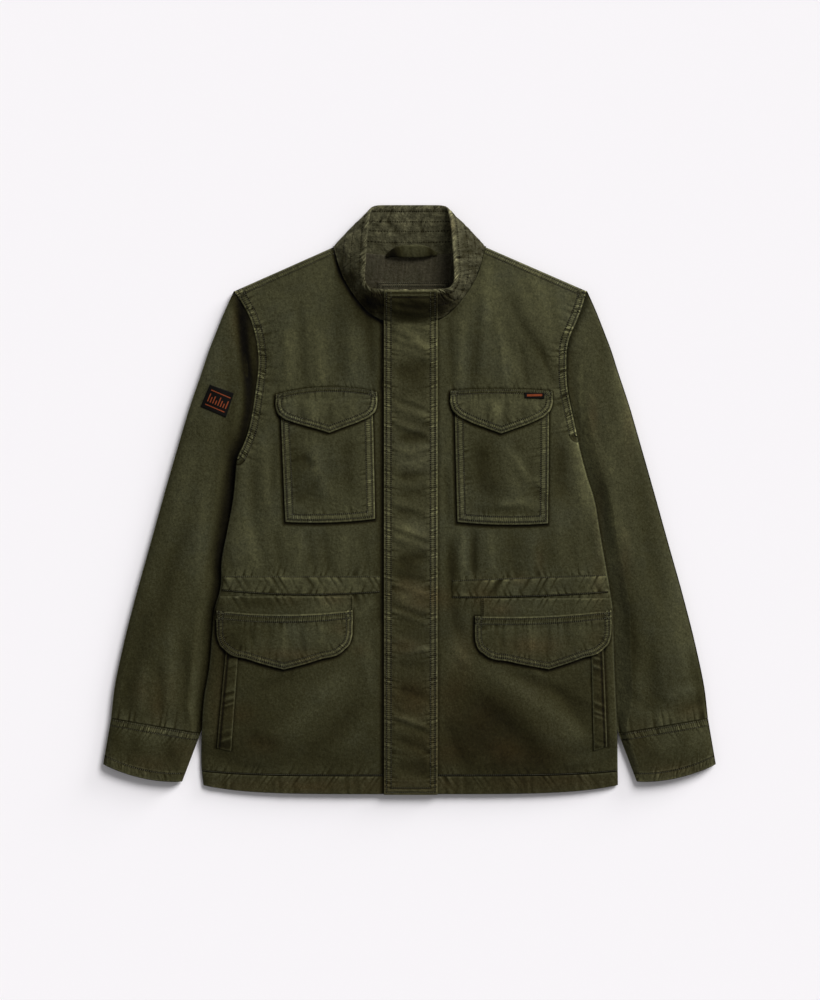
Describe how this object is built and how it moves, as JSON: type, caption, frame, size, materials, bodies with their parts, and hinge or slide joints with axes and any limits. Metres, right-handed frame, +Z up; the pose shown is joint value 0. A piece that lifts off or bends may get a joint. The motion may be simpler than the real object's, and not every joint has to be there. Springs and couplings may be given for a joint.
{
  "type": "field jacket",
  "caption": "Stand-collar field jacket in olive cotton twill, closed under a storm placket and laid flat, with flap chest and hip pockets, a waist channel, hand pockets and cuffs.",
  "frame": {"origin": "middle of the bounding box, on the surface that the jacket lies on", "axes": "+Z up from that surface, +Y toward the collar, +X toward the right of someone looking down at the fronts"},
  "size_m": [0.8294, 0.7988, 0.0409],
  "materials": {
    "back": "washed olive cotton twill",
    "back_facing": "brown-olive cotton twill",
    "chest_flap_left": "washed olive cotton twill",
    "chest_flap_right": "washed olive cotton twill",
    "chest_pocket_left": "washed olive cotton twill",
    "chest_pocket_right": "washed olive cotton twill",
    "collar": "washed olive cotton twill",
    "cuff_left": "washed olive cotton twill",
    "cuff_right": "washed olive cotton twill",
    "flap_tab": "dark woven tape",
    "front_left": "washed olive cotton twill",
    "front_right": "washed olive cotton twill",
    "hanger_loop": "washed olive cotton twill",
    "hem_back": "washed olive cotton twill",
    "hem_front_left": "washed olive cotton twill",
    "hem_front_right": "washed olive cotton twill",
    "hip_flap_left": "washed olive cotton twill",
    "hip_flap_right": "washed olive cotton twill",
    "hip_panel_left": "washed olive cotton twill",
    "hip_panel_right": "washed olive cotton twill",
    "neck_patch": "washed olive cotton twill",
    "placket": "washed olive cotton twill",
    "sleeve_left": "washed olive cotton twill",
    "sleeve_patch": "dark woven cloth",
    "sleeve_right": "washed olive cotton twill",
    "waist_channel_left": "washed olive cotton twill",
    "waist_channel_right": "washed olive cotton twill",
    "welt_left": "washed olive cotton twill",
    "welt_right": "washed olive cotton twill"
  },
  "bodies": {
    "root": {"back": "back", "back_facing": "back_facing", "chest_flap_left": "chest_flap_left", "chest_flap_right": "chest_flap_right", "chest_pocket_left": "chest_pocket_left", "chest_pocket_right": "chest_pocket_right", "collar": "collar", "cuff_left": "cuff_left", "cuff_right": "cuff_right", "flap_tab": "flap_tab", "front_left": "front_left", "front_right": "front_right", "hanger_loop": "hanger_loop", "hem_back": "hem_back", "hem_front_left": "hem_front_left", "hem_front_right": "hem_front_right", "hip_flap_left": "hip_flap_left", "hip_flap_right": "hip_flap_right", "hip_panel_left": "hip_panel_left", "hip_panel_right": "hip_panel_right", "neck_patch": "neck_patch", "placket": "placket", "sleeve_left": "sleeve_left", "sleeve_patch": "sleeve_patch", "sleeve_right": "sleeve_right", "waist_channel_left": "waist_channel_left", "waist_channel_right": "waist_channel_right", "welt_left": "welt_left", "welt_right": "welt_right"}
  },
  "joints": []
}
